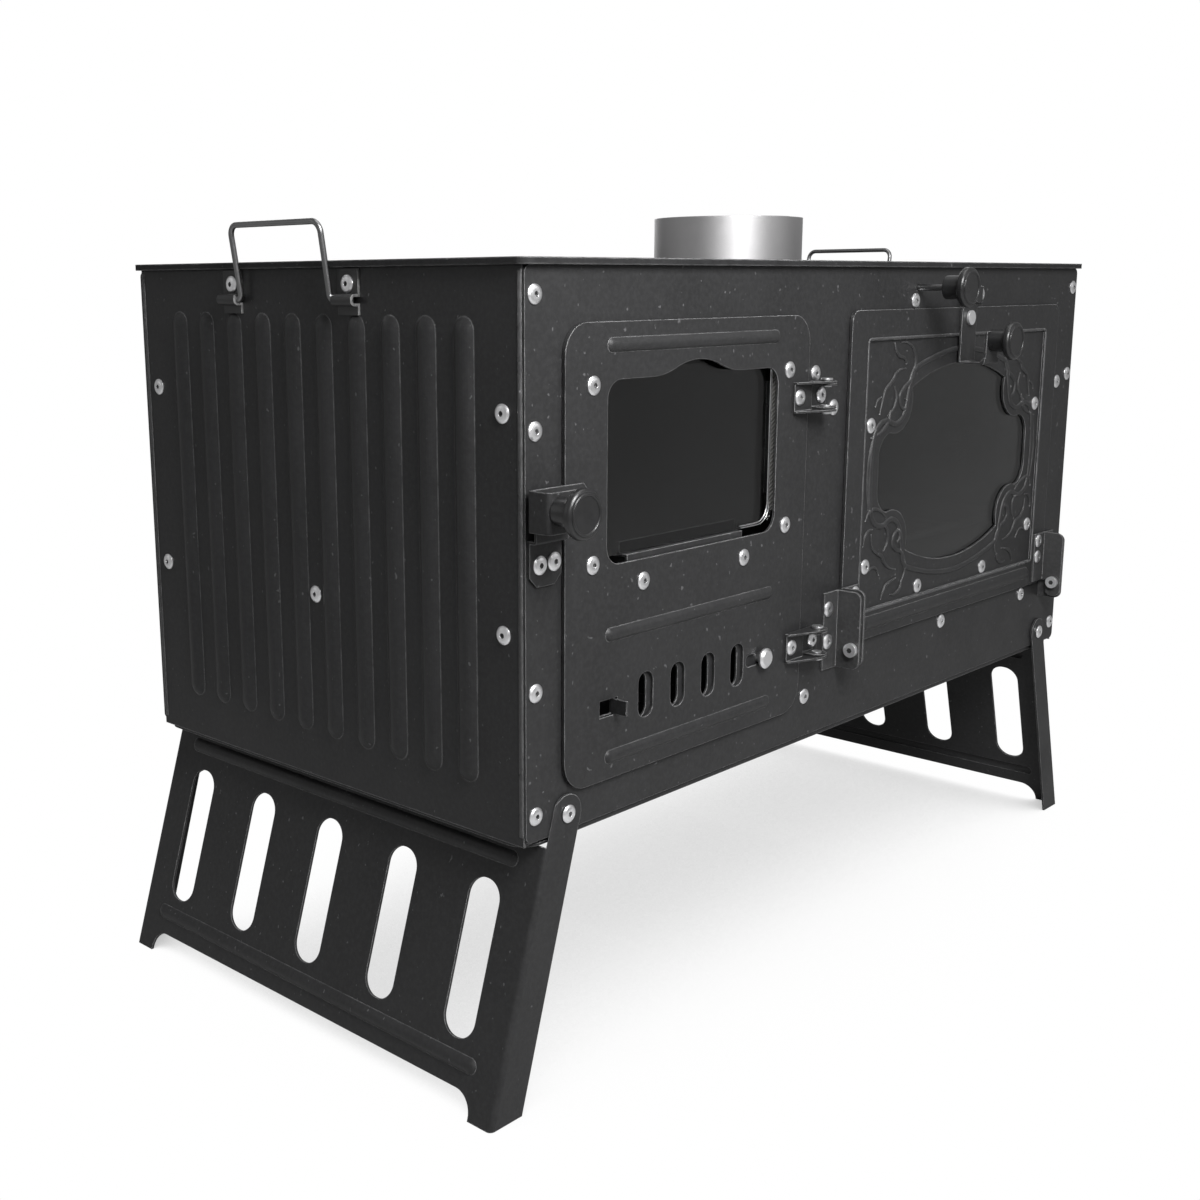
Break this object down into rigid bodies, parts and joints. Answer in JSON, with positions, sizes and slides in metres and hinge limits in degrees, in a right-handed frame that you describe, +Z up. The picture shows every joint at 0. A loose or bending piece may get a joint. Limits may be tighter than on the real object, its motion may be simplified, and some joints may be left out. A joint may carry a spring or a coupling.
{
  "type": "camping stove with oven",
  "caption": "Folding sheet-steel camp stove: glazed firebox door with air slider, glazed drop-down oven door, cooking plate with flue collar and damper, folding legs and carry bails.",
  "frame": {"origin": "on the floor, below the middle of the stove's bounding box, legs standing and doors shut", "axes": "+X to the right along the stove as seen from the front, +Y from the doors to the back, +Z up"},
  "size_m": [0.6576, 0.3616, 0.4623],
  "materials": {
    "black_paint": "matte heat-proof black paint",
    "inner_steel": "dull black, inside",
    "stainless": "brushed stainless",
    "steel_wire": "plated wire",
    "cast_iron": "raw casting",
    "rivet_aluminium": "bright",
    "bakelite": "moulded, satin",
    "stove_glass": "heat-proof glass",
    "rope_seal": "woven glass rope"
  },
  "bodies": {
    "base": {"front_panel": "black_paint", "back_panel": "black_paint", "left_end_panel": "black_paint", "right_end_panel": "black_paint", "bottom_pan": "black_paint", "top_plate": "black_paint", "flue_collar": "stainless", "firebox_side_wall": "inner_steel", "firebox_side_liner": "inner_steel", "grate": "cast_iron", "grate_rails": "inner_steel", "oven_box": "inner_steel", "oven_rack": "steel_wire", "damper_rails": "inner_steel", "damper_rod_guide": "inner_steel", "leg_pivot_rivets": "rivet_aluminium", "bail_clips": "black_paint", "body_rivets": "rivet_aluminium", "firebox_hinge_body_brackets": "black_paint", "firebox_hinge_pins": "rivet_aluminium", "firebox_catch": "black_paint", "oven_hinge_body_brackets": "black_paint", "oven_hinge_screws": "rivet_aluminium", "oven_catch": "black_paint"},
    "left_leg_frame": {"left_leg": "black_paint"},
    "right_leg_frame": {"right_leg": "black_paint"},
    "left_carry_bail": {"left_bail": "steel_wire"},
    "right_carry_bail": {"right_bail": "steel_wire"},
    "firebox_door_group": {"firebox_door": "black_paint", "firebox_glass": "stove_glass", "firebox_glass_seal": "rope_seal", "firebox_glass_retainer": "black_paint", "firebox_door_rivets": "rivet_aluminium", "air_slider_guides": "black_paint", "firebox_hinge_door_brackets": "black_paint", "firebox_latch_pivot": "rivet_aluminium"},
    "air_slider_group": {"air_slider": "black_paint", "air_slider_button": "rivet_aluminium"},
    "firebox_latch": {"firebox_latch_arm": "black_paint", "firebox_latch_knob": "bakelite", "firebox_latch_screw": "rivet_aluminium"},
    "oven_door_group": {"oven_door": "black_paint", "oven_glass": "stove_glass", "oven_glass_retainer": "black_paint", "oven_door_rivets": "rivet_aluminium", "oven_hinge_door_brackets": "black_paint", "oven_latch_pivot": "rivet_aluminium"},
    "oven_latch": {"oven_latch_strip": "black_paint", "oven_latch_knob": "bakelite", "oven_latch_screw": "rivet_aluminium"},
    "damper": {"damper_plate": "stainless", "damper_rod": "steel_wire", "damper_knob": "bakelite"}
  },
  "joints": [
    {"name": "left_leg_fold", "type": "hinge", "parent": "base", "child": "left_leg_frame", "pos_m": [-0.271, 0.0172, 0.15433], "axis": [0, -1, 0], "range_deg": [0, 90]},
    {"name": "right_leg_fold", "type": "hinge", "parent": "base", "child": "right_leg_frame", "pos_m": [0.271, 0.0172, 0.15433], "axis": [0, 1, 0], "range_deg": [0, 90]},
    {"name": "left_bail_swing", "type": "hinge", "parent": "base", "child": "left_carry_bail", "pos_m": [-0.3035, 0.0316, 0.41013], "axis": [0, -1, 0], "range_deg": [-1.5, 168]},
    {"name": "right_bail_swing", "type": "hinge", "parent": "base", "child": "right_carry_bail", "pos_m": [0.3035, 0.057, 0.41013], "axis": [0, 1, 0], "range_deg": [-0.5, 168]},
    {"name": "firebox_door_swing", "type": "hinge", "parent": "base", "child": "firebox_door_group", "pos_m": [-0.053, -0.1508, 0.28483], "axis": [0, 0, 1], "range_deg": [0, 98]},
    {"name": "air_slide", "type": "slide", "parent": "firebox_door_group", "child": "air_slider_group", "axis": [-1, 0, 0], "range_m": [0, 0.01]},
    {"name": "firebox_latch_turn", "type": "hinge", "parent": "firebox_door_group", "child": "firebox_latch", "pos_m": [-0.264, -0.1463, 0.31283], "axis": [0, 1, 0], "range_deg": [-6, 40]},
    {"name": "oven_door_drop", "type": "hinge", "parent": "base", "child": "oven_door_group", "pos_m": [0.125, -0.1553, 0.19543], "axis": [1, 0, 0], "range_deg": [0, 90]},
    {"name": "oven_latch_turn", "type": "hinge", "parent": "oven_door_group", "child": "oven_latch", "pos_m": [0.1255, -0.1463, 0.39443], "axis": [0, 1, 0], "range_deg": [-35, 25]},
    {"name": "damper_slide", "type": "slide", "parent": "base", "child": "damper", "axis": [0, -1, 0], "range_m": [0, 0.065]}
  ]
}
